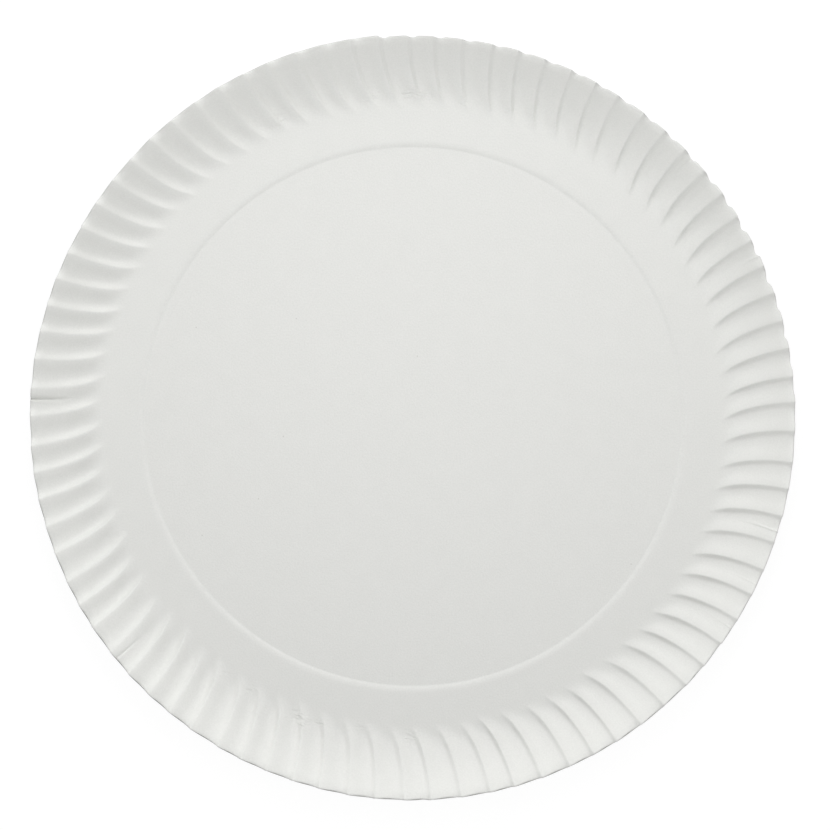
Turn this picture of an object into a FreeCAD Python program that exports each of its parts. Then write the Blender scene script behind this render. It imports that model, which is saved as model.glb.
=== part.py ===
import FreeCAD, Part
import math
import os

# Paper plate, pressed face up out of one round blank of white board. It lies flat with its
# underside on z = 0 and its centre on the z axis. Lengths are in millimetres.
#
# From the centre outwards the board forms a flat disc, a low step up, a flat band and a fluted
# rim, which curves up steeper and steeper and ends in a narrow lip that leans out further. A
# flute starts as a point on the band, opens over a short toe and then runs out to the cut edge,
# where its floor hangs down a little. The x axis meets the edge halfway between two crests.

plate_diameter = 230.0
plate_height = 16.0
board = 0.45            # thickness of the pressed board
lip_width = 2.2         # in plan
lip_lean = 38.0         # degrees above the level, along a crest
rim_width = 17.3        # in plan, from the end of the toes to the lip
toe_length = 2.2        # in plan
band_width = 10.0       # flat band between the step and the points of the toes
step_width = 1.7        # in plan
step_height = 0.55
flute_count = 85
flute_depth = 1.7       # a crest above the floor beside it, once the flute is full
toe_depth = 0.5         # the same at the end of the toe
edge_depth = 1.9        # the same at the cut edge
flute_curl = 1.9        # degrees that a flute turns, counter-clockwise on its way out

# The lines that run out along a flute, as shares of the way from its crest to the next one.
crest, floor_start, floor_end, next_crest = 0, 0.48, 0.7, 1
lines = (crest, floor_start, floor_end, next_crest)
strips = list(zip(lines, lines[1:]))

pitch = 360 / flute_count
band_top = board + step_height
edge_radius = plate_diameter / 2
lip_angle = math.radians(lip_lean)
lip_rise = lip_width * math.tan(lip_angle)
rise = plate_height - lip_rise - band_top - flute_depth
foot_radius = edge_radius - lip_width - rim_width
step_outer = foot_radius - toe_length - band_width
step_inner = step_outer - step_width
axis = FreeCAD.Vector(0, 0, 1)
centre = FreeCAD.Vector(0, 0, 0)


def place(radius, line, u, z):
    """A point at a radius and height, on a line that lies back by the curl of the flutes."""
    angle = math.radians((line + 0.5) * pitch - flute_curl * (1 - u) ** 2)
    return FreeCAD.Vector(radius * math.cos(angle), radius * math.sin(angle), z)


def rim_point(u, line, drop, height=None):
    """A point of the rim u of the way out along a line, drop below the upper face.

    The floor climbs as a parabola and the board keeps its thickness square to it. A toe lies
    inside u = 0. The flutes are full from the middle of the rim outwards.
    """
    slope = math.atan2(2 * rise * max(u, 0), rim_width)
    radius = foot_radius + u * rim_width + drop * math.sin(slope)
    if height is None:
        height = 0
        if line in (crest, next_crest):
            height = flute_depth if u > 0 else toe_depth
    z = band_top + rise * max(u, 0) ** 2 + height - drop * math.cos(slope)
    return place(radius, line, u, z)


def edge_point(line, drop):
    """A point of the cut edge, drop below the upper face."""
    depth = 0 if line in (crest, next_crest) else edge_depth
    radius = edge_radius - (board - drop) * math.sin(lip_angle)
    return place(radius, line, 1, plate_height - depth - drop * math.cos(lip_angle))


def toe_tip(line, drop):
    """Where a crest starts as a point on the band."""
    return rim_point(-toe_length / rim_width, line, drop, 0)


def climb(line, drop):
    """A line's way up from the toe to the lip, as an arc."""
    return Part.Arc(*[rim_point(u, line, drop) for u in (0, 0.5, 1)]).toShape()


def over_lip(line, drop):
    return Part.makeLine(rim_point(1, line, drop), edge_point(line, drop))


def triangle(*corners):
    return Part.Face(Part.makePolygon([*corners, corners[0]]))


def around(shapes):
    """The given shapes of one flute, repeated for every flute."""
    return [s.rotated(centre, axis, k * pitch) for k in range(flute_count) for s in shapes]


def ring(radius, z):
    return Part.Wire(Part.makeCircle(radius, FreeCAD.Vector(0, 0, z)))


def side(drop):
    """One side of the board: rim, lip, band, step and disc."""
    flute = [Part.makeRuledSurface(climb(a, drop), climb(b, drop)) for a, b in strips]
    flute += [Part.makeRuledSurface(over_lip(a, drop), over_lip(b, drop)) for a, b in strips]
    tip, next_tip = toe_tip(crest, drop), toe_tip(next_crest, drop)
    start, end = rim_point(0, floor_start, drop), rim_point(0, floor_end, drop)
    flute.append(triangle(tip, rim_point(0, crest, drop), start))
    flute.append(triangle(end, rim_point(0, next_crest, drop), next_tip))
    outline = around(Part.makePolygon([tip, start, end, next_tip]).Edges)
    inner, outer = FreeCAD.Vector(step_inner, 0, board - drop), FreeCAD.Vector(step_outer, 0, band_top - drop)
    band = Part.Face(Part.Wire(outline)).cut(Part.Face(ring(step_outer, outer.z)))
    step = Part.makeLine(inner, outer).revolve(centre, axis, 360)
    disc = Part.Face(ring(step_inner, inner.z))
    return around(flute) + band.Faces + [step, disc]


def cut_edge(left, right):
    upper, under = ([edge_point(line, drop) for line in (left, right)] for drop in (0, board))
    return Part.makeRuledSurface(Part.makeLine(*upper), Part.makeLine(*under))


shell = Part.makeCompound(side(0) + side(board) + around([cut_edge(a, b) for a, b in strips]))
shell.sewShape(1e-4)
plate = Part.makeSolid(shell)

os.makedirs("parts", exist_ok=True)
plate.exportStep("parts/plate.step")
box = plate.BoundBox
print("valid", plate.isValid(), "faces", len(plate.Faces), "volume", round(plate.Volume))
print("size", round(box.XLength, 2), round(box.YLength, 2), round(box.ZLength, 2), "from z", round(box.ZMin, 3))
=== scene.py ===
# %% [markdown]
# # A white paper plate
#
# The real plate is one round blank of white board, pressed between two warm dies. The press
# leaves a flat disc, a small ringed step, a flat band and a rim of fine flutes that swirl as
# they climb. This lesson builds that board as one closed mesh from a few formulas, gives it a
# dull white finish, and lights it softly from above and from one side, because the flutes of
# a white plate show only by their shading.

import math

import bpy
import numpy as np
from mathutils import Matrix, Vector


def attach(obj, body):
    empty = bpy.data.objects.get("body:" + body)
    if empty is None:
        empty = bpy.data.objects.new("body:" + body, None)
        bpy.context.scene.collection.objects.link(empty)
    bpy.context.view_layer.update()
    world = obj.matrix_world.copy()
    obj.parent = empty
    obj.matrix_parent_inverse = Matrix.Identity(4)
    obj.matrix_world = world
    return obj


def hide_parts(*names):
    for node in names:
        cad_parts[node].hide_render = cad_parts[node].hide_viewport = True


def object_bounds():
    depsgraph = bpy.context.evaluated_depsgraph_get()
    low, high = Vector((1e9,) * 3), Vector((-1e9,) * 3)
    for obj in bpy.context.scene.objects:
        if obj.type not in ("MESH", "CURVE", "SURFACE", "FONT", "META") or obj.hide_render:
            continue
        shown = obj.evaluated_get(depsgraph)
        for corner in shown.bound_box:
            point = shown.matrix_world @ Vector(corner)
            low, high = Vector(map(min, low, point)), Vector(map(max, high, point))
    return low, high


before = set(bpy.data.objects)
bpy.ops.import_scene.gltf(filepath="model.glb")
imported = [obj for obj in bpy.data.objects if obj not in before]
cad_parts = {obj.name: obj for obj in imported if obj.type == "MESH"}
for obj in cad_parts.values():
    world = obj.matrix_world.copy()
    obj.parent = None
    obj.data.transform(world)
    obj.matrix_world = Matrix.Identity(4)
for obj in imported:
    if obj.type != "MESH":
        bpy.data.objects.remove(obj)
cad_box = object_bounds()
print("CAD box:", [tuple(round(v, 4) for v in corner) for corner in cad_box])

# %% [markdown]
# ## The sizes of the plate
#
# Every form below is worked out in millimetres and turned into metres only when the mesh is
# made. Angles are in degrees and run counter-clockwise from the x axis, seen from above, and
# a radius is measured from the plate's centre. The outline and the height could be typed in
# again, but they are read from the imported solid, so that the two can't drift apart.

# %% Sizes in millimetres
MM = 0.001
EDGE = cad_box[1][0] / MM           # radius of the outline
HEIGHT = cad_box[1][2] / MM         # top of the crests at the cut edge
BOARD = 0.45                        # thickness of the board
STEP_FOOT, STEP_END = 81.6, 83.6
STEP_HEIGHT = 0.55
BAND_TOP = BOARD + STEP_HEIGHT
FLUTES = 85
PITCH = 360 / FLUTES
FLUTE_START, FLUTE_FULL = 93.0, 100.6
FLUTE_DEPTH = 1.9
print(f"{FLUTES} flutes, {2 * math.pi * EDGE / FLUTES:.2f} mm apart at the edge")

# %% [markdown]
# ## The rim's profile
#
# Cut along the middle of a flute, the board leaves the band in a soft bend and then climbs
# steeper and steeper. In the last three millimetres it eases off into a narrow lip. A curve
# object could be drawn for this, but here the slope is given at a few radii and added up,
# because a running sum of a slope without jumps has no kinks. The sum is then scaled so that
# the crests end at the plate's height.

# %% Slope and height of the flutes' low line
LIP_START = 112.3
SLOPE_RADII = (95.0, 96.1, 97.6, 99.1, 100.6, LIP_START, 113.5, EDGE)
SLOPES = (0.0, 0.02, 0.145, 0.305, 0.435, 1.3, 0.84, 0.76)
fine_radii = np.linspace(SLOPE_RADII[0], EDGE, 800)
fine_slopes = np.interp(fine_radii, SLOPE_RADII, SLOPES)
middle_slopes = (fine_slopes[1:] + fine_slopes[:-1]) / 2
fine_rise = np.concatenate([[0], np.cumsum(middle_slopes * np.diff(fine_radii))])
crest_end = EDGE - BOARD * math.sin(math.atan(SLOPES[-1]))
full_rise = HEIGHT - BAND_TOP - FLUTE_DEPTH
rise_scale = full_rise / np.interp(crest_end, fine_radii, fine_rise)


def low_line(radius):
    """Height of the upper face along the low lines, from the band outwards."""
    return BAND_TOP + rise_scale * np.interp(radius, fine_radii, fine_rise)


steepest = math.degrees(math.atan(max(SLOPES) * rise_scale))
print(f"steepest {steepest:.0f} degrees, low line ends at {low_line(crest_end):.2f} mm")

# %% [markdown]
# ## The disc and its ringed step
#
# The step is only half a millimetre high, but it is what the eye reads as a thin ring. A
# round-cornered stair would do, but its inner foot is a sharp crease and its top rounds off
# slowly, so a parabola that starts steep and ends level draws it in one line.


# %% Height of the disc, the step and the band
def base_line(radius):
    """Height of the upper face from the centre to the band."""
    share = np.clip((radius - STEP_FOOT) / (STEP_END - STEP_FOOT), 0, 1)
    return BOARD + STEP_HEIGHT * (1 - (1 - share) ** 2)


print(f"steepest slope of the step: {2 * STEP_HEIGHT / (STEP_END - STEP_FOOT):.2f}")

# %% [markdown]
# ## One flute
#
# From a crest the board falls gently for more than half of the pitch and then climbs steeply
# to the next crest, so the flutes lean like a saw with rounded teeth. Two half waves of a
# cosine meet at the low line. A power on the way along each one moves its steepest place, and
# a high power on the climb leaves a narrow crest. One sine wave would be simpler, but it
# lights up evenly on both sides, which the real flutes don't.
#
# A flute starts on the band with no depth and swells outwards, and it turns on its way, most
# of all near its root.

# %% Section, growth and turn of a flute
LOW_SHARE = 0.65                    # place of the low line, in pitches from the crest
FALL_POWER = 0.9
RIM_TURN, RIM_TURN_END = 0.0057, 114.07
ROOT_TURN, ROOT_TURN_END = 0.0102, 101.0


def flute_section(share, sharpness):
    """1 on a crest, 0 on the low line, for a share of the way from one crest to the next."""
    fall = (share / LOW_SHARE).clip(0, 1) ** FALL_POWER
    climb = ((share - LOW_SHARE) / (1 - LOW_SHARE)).clip(0, 1) ** sharpness
    return np.where(share < LOW_SHARE, 1 + np.cos(np.pi * fall), 1 - np.cos(np.pi * climb)) / 2


def flute_growth(radius, start):
    """How much of its full depth a flute has at a radius."""
    way = ((radius - start) / (FLUTE_FULL - FLUTE_START)).clip(0, 1)
    return way**2 * (3 - 2 * way)


def curl(radius):
    """Degrees by which the flutes lie back at a radius, against their place at the edge."""
    outside = np.maximum(radius, FLUTE_START)
    rim = RIM_TURN * (RIM_TURN_END - outside).clip(0) ** 2
    return rim + ROOT_TURN * (ROOT_TURN_END - outside).clip(0) ** 2


print(f"a flute turns {curl(np.array([FLUTE_START]))[0]:.1f} degrees on its way out")

# %% [markdown]
# ## The lip hangs down between the crests
#
# At the cut edge nothing holds the board any more, and on the steep side of each flute the
# lip sinks a little. A smooth dip of one cosine wave, squared, is used for this and for every
# other small mark below, because it starts and ends level and so leaves no edge in the
# shading.

# %% Droop of the lip
DROOP, DROOP_START = 0.62, 112.9
DROOP_AT, DROOP_REACH = 0.75, 0.42  # in pitches


def dip(distance, reach):
    """1 at a mark's middle, falling smoothly to 0 at its reach."""
    return np.cos(np.pi / 2 * (distance / reach).clip(-1, 1)) ** 2


def lip_droop(radius, share):
    """How far the lip hangs down at a radius, most of it beside the steep side of a flute."""
    out = np.maximum((radius - DROOP_START) / (EDGE - DROOP_START), 0) ** 2
    return DROOP * dip(share - DROOP_AT, DROOP_REACH) * out


print(f"the lip hangs down by up to {DROOP} mm")

# %% [markdown]
# ## The small differences between flutes
#
# The blank has too much board at its edge, and every flute takes up a slightly different
# share of it. So each crest gets its own place, height and start, and each low line its own
# depth. They come from one generator with a fixed seed, so that every run makes the same
# plate.

# %% Differences between flutes
SEED = 85
SHIFT_SPREAD = 0.035                # in pitches
HEIGHT_SPREAD = 0.05                # in shares of the depth, as the next one
LOW_SPREAD = 0.05
START_SPREAD = 0.35                 # in millimetres
rng = np.random.default_rng(SEED)
crest_shift = rng.normal(0, SHIFT_SPREAD, FLUTES)
crest_height = rng.normal(1, HEIGHT_SPREAD, FLUTES).clip(0.85, 1)
low_depth = rng.normal(0, LOW_SPREAD, FLUTES).clip(-0.1, 0.1)
start_shift = rng.normal(0, START_SPREAD, FLUTES)
print("crest heights:", crest_height.min().round(2), "to", crest_height.max().round(2))

# %% [markdown]
# ## Creases and ridges
#
# A plate from a stack isn't perfect. This one has a pressed fold at its left edge and nine
# faint creases and ridges that run in from the edge. Each could be sculpted by hand, but a
# short list of places, lengths, widths and depths is easier to check against a photograph. A
# negative depth is a ridge.

# %% Creases
CREASES = (
    # angle, inner and outer radius, half width, depth
    (177.02, 103.5, 115.0, 0.75, 1.4),
    (219.0, 103.0, 115.0, 0.6, 0.35),
    (271.4, 108.0, 115.5, 0.4, 0.2),
    (63.3, 105.0, 115.0, 0.35, -0.16),
    (25.2, 107.0, 115.5, 0.7, -0.35),
    (326.6, 108.0, 115.5, 0.45, -0.18),
    (334.2, 108.5, 115.5, 0.4, -0.14),
    (342.8, 103.5, 114.0, 0.45, -0.45),
    (43.0, 104.0, 110.0, 0.4, 0.12),
    (5.8, 106.0, 112.0, 0.4, 0.12),
)


def shortest(difference, turn):
    """A difference along something that closes, taken the shorter way round."""
    return (difference + turn / 2) % turn - turn / 2


def crease_depth(radius, angle):
    """How far the board lies below its pressed shape, from all creases together."""
    total = 0 * radius
    for at, inner, outer, half_width, depth in CREASES:
        across = radius * np.radians(shortest(angle - at, 360))
        along = ((radius - inner) / (outer - inner)).clip(0, 1)
        total = total + depth * dip(across, half_width) * np.sin(np.pi / 2 * along)
    return total


print(len(CREASES), "creases and ridges")

# %% [markdown]
# ## The columns and rows of the board
#
# The upper face is a grid in polar form. An even grid would need far more points for the same
# crispness. Here the columns follow the flutes, with the same shares of the pitch in every
# row, so that each crest is a clean line of edges. They stand closer together at the crests,
# on the steep side and beside a crease. The rows are circles, close where the board bends and
# far apart where it is flat. The flutes crowd a little towards one side, because the real
# blank lay a touch off centre in the press.

# %% Columns
FIRST_CREST = 0.465                 # place of flute 0's crest, in pitches from the x axis
SHARES = (
    0, 0.03, 0.08, 0.15, 0.24, 0.33, 0.42, 0.5, 0.57, 0.64, 0.71, 0.78, 0.84, 0.89, 0.935, 0.97,
)
LAST_SHARE = 0.99
BESIDE_CREASE = np.arange(-4, 5) * 0.02
CROWD_COSINE, CROWD_SINE = 0.31, 0.13
LIP_CURL = 0.03                     # curl in the middle of a crease, near the lip


def crowding(angle):
    """Degrees by which a flute lies ahead of its even place."""
    turned = np.radians(angle)
    return CROWD_COSINE * np.cos(turned) + CROWD_SINE * np.sin(turned)


creased = [(at - crowding(at) + LIP_CURL) / PITCH - FIRST_CREST for at, *_ in CREASES]
share, flute = [], []
for number in range(FLUTES):
    own = np.array(SHARES)
    for at in creased:
        if int(at) == number:
            own = np.union1d(own, (at - number + BESIDE_CREASE).clip(0, LAST_SHARE))
    share += list(own)
    flute += [number] * len(own)
share, flute = np.array(share), np.array(flute)
following = (flute + 1) % FLUTES


def between(values):
    """A value that each crest has, drawn straight from a column's crest to the next one."""
    return values[flute] * (1 - share) + values[following] * share


edge_angle = (flute + share + FIRST_CREST + between(crest_shift)) * PITCH
edge_angle += crowding(edge_angle)
print(len(share), "columns")

# %% Rows
UPPER_ROWS = (
    60, 79, 81.3, 81.6, 81.85, 82.2, 82.7, 83.2, 83.8, 85, 91, 92.4, 93, 93.6, 94.2, 94.8, 95.4,
    96, 96.7, 97.4, 98.2, 99.1, 100.2, 101.5, 103, 104.6, 106.2, 107.8, 109.3, 110.5, 111.4,
    112, 112.6, 113.1, 113.6, 114.05, 114.5, EDGE,
)
UNDER_ROWS = (
    60, 81.3, 81.6, 82.2, 83, 83.8, 92, 93.2, 94.2, 95.2, 96.2, 97.4, 98.6, 100, 101.6, 103.5,
    105.5, 107.5, 109.5, 111.3, 112.4, 113.2, 114, 114.5, EDGE,
)
print(len(UPPER_ROWS), "rows above,", len(UNDER_ROWS), "below")

# %% [markdown]
# ## The outline
#
# Seen from above, the cut edge isn't a circle. Where the board is gathered more it is pulled
# in, and at the upper right, where the edge curls up, each flute ends in a rounded scallop.
# One more circle of points with its own radius for each column is enough for all of this.
# What changes slowly around the plate is written as a few angles with their values, and
# everything between is drawn straight.


# %% Levels and scallops of the outline
def around(angles, values):
    """A value along the edge, drawn straight between the given angles."""
    return np.interp(edge_angle, angles, values, period=360)


LOOSE_SPREAD = 0.09
LEVEL_AT = (0, 60, 93, 95.5, 112, 150, 240, 275)
LEVEL = (-0.1, -0.2, -0.25, 0.2, 0.18, -0.08, -0.12, 0)
SCALLOP_AT = (355, 15, 28, 36, 50, 70, 93, 96)
SCALLOP = (0, 0.45, 0.75, 0.75, 0.5, 0.38, 0.5, 0)
RIGHT_SCALLOP, TOP_SCALLOP = 0.4, 0.78          # deepest places, in pitches from a crest
SCALLOP_BEFORE, SCALLOP_AFTER = 0.2, 0.36       # how far it reaches to each side
loose = np.abs(rng.normal(0, LOOSE_SPREAD, (2, FLUTES)))
outline = EDGE - loose[0][flute] * (1 - share) - loose[1][flute] * share
outline += around(LEVEL_AT, LEVEL)
past = shortest(share - around((0, 95), (RIGHT_SCALLOP, TOP_SCALLOP)), 1)
scallop_reach = np.where(past < 0, SCALLOP_BEFORE, SCALLOP_AFTER)
outline -= around(SCALLOP_AT, SCALLOP) * dip(past, scallop_reach)
print("outline between", outline.min().round(2), "and", outline.max().round(2), "mm")

# %% [markdown]
# Here and there the edge has a small nick, or a burr that stands out. The cut itself isn't
# square to the board: the upper face ends a little before the lower one, most of all along
# the lower edge, where the camera sees it as a fine grey line whose grey is partly painted
# shade. So the upper face gets an outline of its own.

# %% Nicks and the slant of the cut
NICK_REACH = 0.9                    # degrees
NICKS = (
    # angle, depth
    (12.5, 0.25), (21.0, 0.3), (29.8, 0.2), (25.0, -0.2), (271.4, 0.1), (94.4, 0.3),
)
SLANT = 0.06
SLANT_AT = (0, 20, 100, 130, 180, 215, 300, 325, 345)
SLANT_BESIDE_CREST = (0.03, 0, 0, 0.02, 0.04, 0.26, 0.26, 0.14, 0.02)
SLANT_MIDDLE = 0.45                 # where it is widest, in pitches from a crest
for at, depth in NICKS:
    outline -= depth * dip(shortest(edge_angle - at, 360), NICK_REACH)
beside_crest = dip(shortest(share - SLANT_MIDDLE, 1), 0.5)
upper_end = outline - SLANT - around(SLANT_AT, SLANT_BESIDE_CREST) * beside_crest
slant = outline - upper_end
print("the cut slants by", slant.min().round(2), "to", slant.max().round(2), "mm")

# %% [markdown]
# ## Both faces of the board
#
# All of the above comes together in one function that gives the points of a face. The press
# was not equally hard all round: the flutes are deepest at the left, they are sharpest at the
# right, and at the lower right they flatten out towards the edge.
#
# The lower face is the same sheet, moved by the board's thickness square to the slope along a
# radius. A Solidify modifier could do that, but its walls would be slightly uneven on
# narrow crests, and the lower face can do with fewer rows.

# %% Points of a face
BAND_MIDDLE = 90.0
FLATTENED = around((230, 290, 330, 360), (0, 1, 1, 0))
FLATTENED_FROM, FLATTENED_OVER = 100, 13
SHARPNESS = around((0, 60, 115, 180, 270, 330), (2.4, 2.4, 1.6, 1.5, 1.7, 2.2))
SHARPER, SHALLOWER = 0.8, 0.3       # what the flattened flutes gain and lose
PRESSED = around((0, 90, 180, 270), (0.84, 0.87, 1.0, 0.78))


def flute_height(radius):
    """Height of the flutes above their low line."""
    flattened = FLATTENED * ((radius - FLATTENED_FROM) / FLATTENED_OVER).clip(0, 1)
    section = flute_section(share, SHARPNESS + SHARPER * flattened)
    low = low_depth[flute]
    wave = low + (between(crest_height) - low) * section
    growth = flute_growth(radius, FLUTE_START + between(start_shift))
    return FLUTE_DEPTH * PRESSED * (1 - SHALLOWER * flattened) * (wave * growth)


def board_face(rows, drop):
    """Points of one face of the board: the upper one for drop 0, the lower one for BOARD."""
    row = np.array(rows)[:, None] + 0 * share
    on_lip = ((row - LIP_START) / (EDGE - LIP_START)).clip(0)
    radius = row - on_lip * (EDGE - upper_end)
    angle = edge_angle - curl(row)
    height = np.where(radius < BAND_MIDDLE, base_line(radius), low_line(radius))
    height = height + flute_height(radius) - lip_droop(radius, share) - crease_depth(radius, angle)
    rises = np.diff(height, axis=0) / np.diff(radius, axis=0)
    lean = np.arctan(np.concatenate([rises[:1], (rises[1:] + rises[:-1]) / 2, rises[-1:]]))
    out = radius + drop * np.sin(lean)
    if drop:
        out[-1] = outline
    turned = np.radians(angle)
    return np.stack([out * np.cos(turned), out * np.sin(turned), height - drop * np.cos(lean)], -1)


upper = board_face(UPPER_ROWS, 0)
under = board_face(UNDER_ROWS, BOARD)
print("highest crest", upper[..., 2].max().round(2), "mm")

# %% [markdown]
# ## Closing the mesh
#
# Rows of points become rows of four-sided faces. The upper face, the cut edge and the
# underside form one run of rows from the centre over the edge and back to the centre, so a
# single loop makes the whole skin, and it closes by itself. Joining two separate faces with
# a bridge would give the same mesh with more steps.


# %% One closed mesh
def closed_board(name, rows_of_points, centre_top, centre_under):
    """A mesh whose skin runs from one centre point over the given rows to the other one."""
    count = rows_of_points.shape[1]
    points = np.array([centre_top, *rows_of_points.reshape(-1, 3), centre_under]) * MM
    last = len(points) - 1
    columns = [(a, (a + 1) % count) for a in range(count)]
    faces = [(0, 1 + a, 1 + b) for a, b in columns]
    for row in range(len(rows_of_points) - 1):
        ring = 1 + row * count
        outer = ring + count
        faces += [(ring + a, outer + a, outer + b, ring + b) for a, b in columns]
    faces += [(last, last - count + b, last - count + a) for a, b in columns]
    mesh = bpy.data.meshes.new(name)
    mesh.from_pydata(points.tolist(), [], faces)
    mesh.validate()
    mesh.polygons.foreach_set("use_smooth", [True] * len(mesh.polygons))
    piece = bpy.data.objects.new(name, mesh)
    bpy.context.scene.collection.objects.link(piece)
    return piece


skin = np.concatenate([upper, under[::-1]])
plate = closed_board("pressed_board", skin, (0, 0, BOARD), (0, 0, 0))
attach(plate, "root")
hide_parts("plate")
print(sum(len(p.vertices) - 2 for p in plate.data.polygons), "triangles")

# %% [markdown]
# ## Shader maths as plain expressions
#
# Nodes could be placed and linked one by one, but a formula is easier to read. A small class
# wraps a socket, so that sums and products of sockets can be written as in any formula, and
# each operator adds one Math node. Everything else goes through one method that takes the
# kind of node, its settings and its inputs.


# %% Sockets in expressions
class Wire:
    """An output socket that can be used in an expression."""

    def __init__(self, tree, socket):
        self.tree, self.socket = tree, socket

    @classmethod
    def node(cls, tree, kind, settings=None, inputs=None, output=0):
        """Adds a node: its settings first, then a value or a link for each input.

        It gives the wire of one output, or a list of wires where output is a tuple.
        """
        made = tree.nodes.new(kind)
        for name, value in (settings or {}).items():
            setattr(made, name, value)
        for name, value in (inputs or {}).items():
            if isinstance(value, cls):
                tree.links.new(value.socket, made.inputs[name])
            else:
                made.inputs[name].default_value = value
        if isinstance(output, tuple):
            return [cls(tree, made.outputs[each]) for each in output]
        return cls(tree, made.outputs[output]) if made.outputs else None

    def maths(self, operation, *others):
        """One Math node with this socket as its first value."""
        values = dict(enumerate((self, *others)))
        return Wire.node(self.tree, "ShaderNodeMath", {"operation": operation}, values)

    def __add__(self, other):
        return self.maths("ADD", other)

    def __mul__(self, other):
        return self.maths("MULTIPLY", other)

    def __sub__(self, other):
        return self.maths("SUBTRACT", other)

    def __rsub__(self, other):
        values = {0: other, 1: self}
        return Wire.node(self.tree, "ShaderNodeMath", {"operation": "SUBTRACT"}, values)

    __radd__ = __add__
    __rmul__ = __mul__

    def at_least(self, other):
        return self.maths("MAXIMUM", other)

    def at_most(self, other):
        return self.maths("MINIMUM", other)


print("Wire adds a Math node for each +, - and *")


# %% Helpers for materials
def mixed_colour(factor, first, second):
    """A colour between two others. A Mix node's colour sockets are numbers 6 and 7, and 2."""
    settings = {"data_type": "RGBA"}
    inputs = {"Factor": factor, 6: first, 7: second}
    return Wire.node(factor.tree, "ShaderNodeMix", settings, inputs, output=2)


def new_material(name):
    """An empty material and its tree of nodes."""
    material = bpy.data.materials.new(name)
    material.use_nodes = True
    material.node_tree.nodes.clear()
    return material, material.node_tree


print("materials so far:", len(bpy.data.materials))

# %% [markdown]
# ## The colour of white board
#
# The board is uncoated and dull: a warm white that is a little greener than grey. Fibres give
# it a fine grain, and larger, softer clouds a faint unevenness. A few dark specks of recycled
# fibre lie in the disc. A scanned texture could show all this, but two noises and a list of
# places need no file. Object coordinates keep the grain on the board, from any side.

# %% Grain, clouds and specks
LIGHT_BOARD = (0.825, 0.827, 0.803, 1)
SHADED_BOARD = (0.755, 0.759, 0.735, 1)
SPECK_COLOUR = (0.5, 0.49, 0.46, 1)
SPECK_RADIUS = 0.3
SPECKS = (
    (-65.5, 27.1), (-39.2, -5.9), (-46.7, -24.8), (-63.8, -35.9), (66.2, -44.6), (1.4, 18.4),
    (-35.2, 29.8),
)
SPECK_SHARE, CLOUD_SHARE, GRAIN_SHARE = 0.7, 0.35, 1.8
board_white, tree = new_material("white board")
place = Wire.node(tree, "ShaderNodeTexCoord", output="Object")


def noise(vector, scale, detail, roughness=0.5):
    """A noise about 0.5, read at the given coordinates."""
    inputs = {"Vector": vector, "Scale": scale, "Detail": detail, "Roughness": roughness}
    return Wire.node(vector.tree, "ShaderNodeTexNoise", {}, inputs)


grain = noise(place, scale=2000.0, detail=3.0, roughness=0.6)
clouds = noise(place, scale=160.0, detail=2.0)
tone = 0.5 + (clouds - 0.5) * CLOUD_SHARE + (grain - 0.5) * GRAIN_SHARE
fibres = mixed_colour(tone, SHADED_BOARD, LIGHT_BOARD)
speck = 0
for x, y in SPECKS:
    ends = {0: place, 1: (x * MM, y * MM, BOARD * MM)}
    distance = Wire.node(tree, "ShaderNodeVectorMath", {"operation": "DISTANCE"}, ends, output=1)
    speck = (1 - distance * (1 / (SPECK_RADIUS * MM))).at_least(0.0) + speck
colour = mixed_colour(speck * SPECK_SHARE, fibres, SPECK_COLOUR)
print(len(SPECKS), "specks of", SPECK_RADIUS, "mm")

# %% [markdown]
# ## Wrinkles at the roots of the flutes
#
# Where the flutes start, the pressed board is squeezed together, and in places it shows very
# fine wrinkles that run around the plate. They are too fine for the mesh, so a bump does
# them. A noise that is squashed along the radius gives such lines: it reads the angle and the
# radius as its coordinates. It is kept to a narrow ring, to two arcs and to patches in them.

# %% Wrinkles
ROOTS, ROOT_REACH = 97.5 * MM, 3.5 * MM
ALONG, ACROSS = 60.0, 1400.0        # how fine the noise is along and across a wrinkle
ARCS = (97, 248)                    # middles of the arcs, in degrees
ARC_COSINE, ARC_FADE = 0.84, 6.0    # where an arc ends, and how fast it fades in
PATCH_FADE = 7.0
x, y = Wire.node(tree, "ShaderNodeSeparateXYZ", {}, {0: place}, output=(0, 1))
from_centre = (x * x + y * y).maths("SQRT")
turn = y.maths("ARCTAN2", x)
polar = Wire.node(tree, "ShaderNodeCombineXYZ", {}, {0: turn * ALONG, 1: from_centre * ACROSS})
ripple = noise(polar, scale=1.0, detail=1.0)
away = (from_centre - ROOTS).maths("ABSOLUTE")
ring = (1 - away * (1 / ROOT_REACH)).at_least(0.0)
arcs = 0
for middle in ARCS:
    facing = (turn - math.radians(middle)).maths("COSINE")
    arcs = ((facing - ARC_COSINE) * ARC_FADE).at_least(0.0) + arcs
patches = ((clouds - 0.5) * PATCH_FADE).at_least(0.0).at_most(1.0)
wrinkles = (ripple - 0.5) * ring * arcs * patches
print("wrinkles at", ROOTS / MM, "mm from the centre")

# %% [markdown]
# ## The finish of the faces
#
# Uncoated board scatters light almost evenly, so the shader is rough with a weak highlight.
# The grain also goes into a faint bump, and the wrinkles are a second bump on top of it. What
# is the same all over the board is set on the shader's own sockets.

# %% Faces
BOARD_ROUGHNESS, BOARD_SPECULAR = 0.8, 0.3


def bumped(height, strength, distance, **under):
    """The normal of a surface that a height lifts, on top of another normal if one is given."""
    inputs = {"Height": height, "Strength": strength, "Distance": distance, **under}
    return Wire.node(height.tree, "ShaderNodeBump", {}, inputs)


def finished(tree, colour, roughness, specular, **normal):
    """The Principled shader and the output node that every finish here ends in."""
    inputs = {"Base Color": colour, "Roughness": roughness, "Specular IOR Level": specular}
    finish = Wire.node(tree, "ShaderNodeBsdfPrincipled", {}, {**inputs, **normal})
    Wire.node(tree, "ShaderNodeOutputMaterial", {}, {"Surface": finish})


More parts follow.
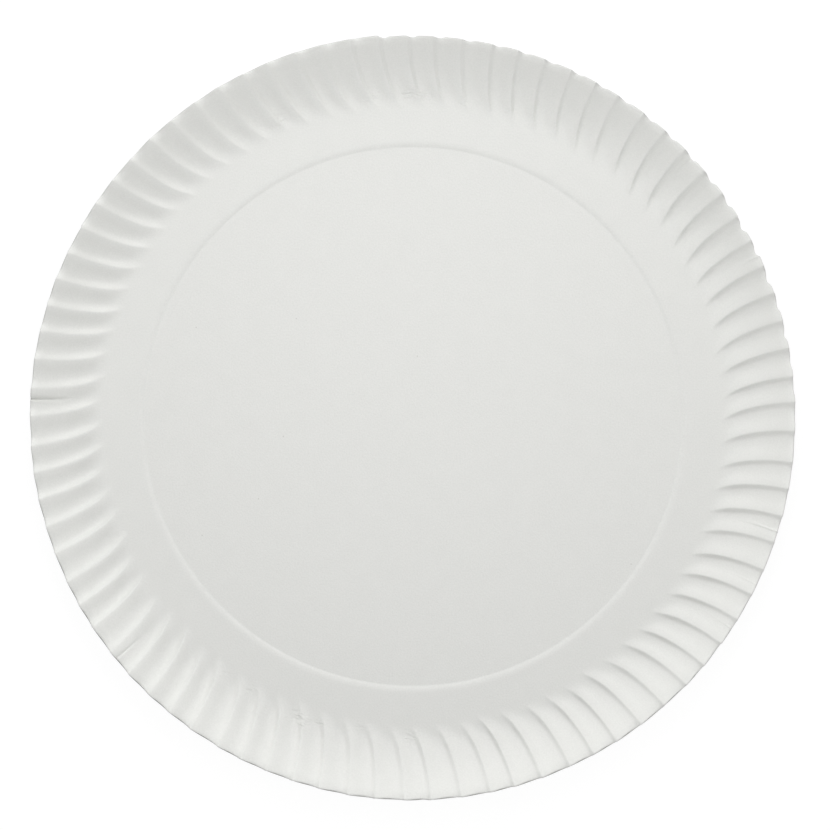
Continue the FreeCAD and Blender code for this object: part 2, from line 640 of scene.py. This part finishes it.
grainy = bumped(grain, strength=0.2, distance=0.2 * MM)
wrinkled = bumped(wrinkles, strength=0.8, distance=1 * MM, Normal=grainy)
finished(tree, colour, BOARD_ROUGHNESS, BOARD_SPECULAR, Normal=wrinkled)
plate.data.materials.append(board_white)
print("faces:", board_white.name)

# %% [markdown]
# ## The raw cut edge and its painted shade
#
# The knife opens the board, and its open fibres look greyer than its pressed faces. The edge's
# colour also holds painted shade: it is darker than the fibres alone, for an edge that faces
# away from the light and meets the plate's shadow on the ground. The edge is a single ring of
# polygons, so a second material on that ring is simpler and sharper than a mask. The ring is
# shaded flat, because a smooth shade would wrap the faces' light round the edge.

# %% Cut edge
# painted shade: this grey is partly the open fibres' own colour and partly shade painted onto the
# edge
CUT_GREY_AND_SHADE = (0.46, 0.46, 0.44, 1)
cut_grey_and_shade, tree = new_material("cut board with painted shade")
finished(tree, CUT_GREY_AND_SHADE, roughness=0.9, specular=0.2)
plate.data.materials.append(cut_grey_and_shade)
first_cut = len(share) * len(UPPER_ROWS)
for polygon in plate.data.polygons[first_cut:first_cut + len(share)]:
    polygon.material_index = 1
    polygon.use_smooth = False
print("cut edge:", len(share), "polygons of", cut_grey_and_shade.name)

# %% [markdown]
# ## The floor
#
# The photograph has a plain white ground. A white floor that is really lit would need more
# light than the plate should get. So the floor is an ordinary pale surface for the light that
# bounces from it, and for the camera a mostly glowing one, which still takes the plate's
# shadow. It lies a hair below the board, because two faces in the same plane would flicker.

# %% Floor
SIDE = 6.0
FLOOR_GAP = 0.02 * MM
FLOOR_COLOUR = (0.8, 0.8, 0.8, 1)
SHADOW_COLOUR = (0.12, 0.12, 0.12, 1)           # how much of a shadow the camera sees
WHITE, GLOW = (1, 1, 1, 1), 0.93
corners = [(-SIDE, -SIDE, 0), (SIDE, -SIDE, 0), (SIDE, SIDE, 0), (-SIDE, SIDE, 0)]
floor_mesh = bpy.data.meshes.new("floor")
floor_mesh.from_pydata(corners, [], [(0, 1, 2, 3)])
floor = bpy.data.objects.new("floor", floor_mesh)
bpy.context.scene.collection.objects.link(floor)
floor.location.z = -FLOOR_GAP
floor_white, tree = new_material("floor")


def seen_directly(tree):
    """1 for a ray that shows something to the camera, also in a mirror or through glass."""
    rays = ("Is Camera Ray", "Is Glossy Ray", "Is Transmission Ray")
    camera_ray, glossy_ray, through_ray = Wire.node(tree, "ShaderNodeLightPath", output=rays)
    return camera_ray.at_least(glossy_ray).at_least(through_ray)


seen = seen_directly(tree)
plain = Wire.node(tree, "ShaderNodeBsdfDiffuse", {}, {"Color": FLOOR_COLOUR})
shadowed = Wire.node(tree, "ShaderNodeBsdfDiffuse", {}, {"Color": SHADOW_COLOUR})
glow = Wire.node(tree, "ShaderNodeEmission", {}, {"Color": WHITE, "Strength": GLOW})
lifted = Wire.node(tree, "ShaderNodeAddShader", {}, {0: shadowed, 1: glow})
mixed = Wire.node(tree, "ShaderNodeMixShader", {}, {"Fac": seen, 1: plain, 2: lifted})
Wire.node(tree, "ShaderNodeOutputMaterial", {}, {"Surface": mixed})
floor_mesh.materials.append(floor_white)
print("floor:", 2 * SIDE, "m wide")

# %% [markdown]
# ## The surroundings
#
# Most of the light comes from all round, as in a white studio. It is stronger low down than
# overhead, so that the steep sides of the flutes stay light, and stronger in front and behind
# than at the sides, because the plate was lit along its y axis. A picture of a studio could
# do this, but one formula on the direction needs no file. The camera itself sees plain white.

# %% Surroundings
OVERHEAD = 0.281
HORIZON = 2.2                       # how much stronger the light is low down
ENDS = 1.15                         # how much of that goes from the sides to front and back
world = bpy.data.worlds.new("surroundings")
bpy.context.scene.world = world
world.use_nodes = True
tree = world.node_tree
tree.nodes.clear()
seen = seen_directly(tree)
direction = Wire.node(tree, "ShaderNodeTexCoord", output="Generated")
x, y, z = Wire.node(tree, "ShaderNodeSeparateXYZ", {}, {0: direction}, output=(0, 1, 2))
low = 1 - z.maths("ABSOLUTE")
strength = OVERHEAD * (1 + HORIZON * low * (1 + ENDS * (y * y - x * x)))
background = {"Color": WHITE, "Strength": seen + (1 - seen) * strength}
sky = Wire.node(tree, "ShaderNodeBackground", {}, background)
Wire.node(tree, "ShaderNodeOutputWorld", {}, {"Surface": sky})
print(f"light from {OVERHEAD} overhead to {OVERHEAD * (1 + HORIZON * (1 + ENDS)):.2f} low down")

# %% [markdown]
# ## Two soft lamps
#
# A broad lamp stands behind the plate, half way up. It lights the near rim, leaves the far
# rim a little darker, and draws each flute. A small weak one hangs over the middle and makes
# the disc a touch lighter there. Both are round area lamps, whose shadows are soft. A sun or
# a spot would draw hard ones.


# %% Lamps
def soft_lamp(name, place, size, power):
    """A round soft lamp that points at the plate's centre and isn't seen itself."""
    data = bpy.data.lights.new(name, "AREA")
    data.shape = "DISK"
    data.size = size
    data.energy = power
    lamp = bpy.data.objects.new(name, data)
    bpy.context.scene.collection.objects.link(lamp)
    lamp.location = place
    lamp.rotation_euler = Vector(place).to_track_quat("Z", "Y").to_euler()
    lamp.visible_camera = False


soft_lamp("side_lamp", place=(0, 0.375, 0.375), size=0.4, power=1.2)
soft_lamp("top_lamp", place=(0, 0, 0.3), size=0.2, power=0.19)
print("lamps:", [lamp.name for lamp in bpy.data.lights])

# %% [markdown]
# ## The camera
#
# The photograph looks almost straight down and hardly shows any perspective, so the camera
# stands far away with a long lens, and leans by two degrees. An orthographic camera would
# lose the little perspective that there is. The lens follows from the width of the view,
# which is set so that the plate's radius covers as many pixels as in the photograph.

# %% Camera
IMAGE_WIDTH, PLATE_RADIUS = 830, 383.5          # in pixels of the photograph
VIEW_WIDTH = IMAGE_WIDTH * EDGE / PLATE_RADIUS * MM
DISTANCE = 1.6
TILT = math.radians(2.0)
AIM = Vector((0.00069, 0.00112, 0.0155))
SENSOR = 36
camera_data = bpy.data.cameras.new("camera")
camera_data.sensor_width = SENSOR
camera_data.lens = SENSOR * DISTANCE / VIEW_WIDTH
camera = bpy.data.objects.new("camera", camera_data)
bpy.context.scene.collection.objects.link(camera)
camera.location = AIM + DISTANCE * Vector((0, math.sin(TILT), math.cos(TILT)))
camera.rotation_euler = (-TILT, 0, 0)
bpy.context.scene.camera = camera
bpy.context.scene.view_settings.view_transform = "Standard"
print(f"lens {camera_data.lens:.0f} mm at {DISTANCE} m")
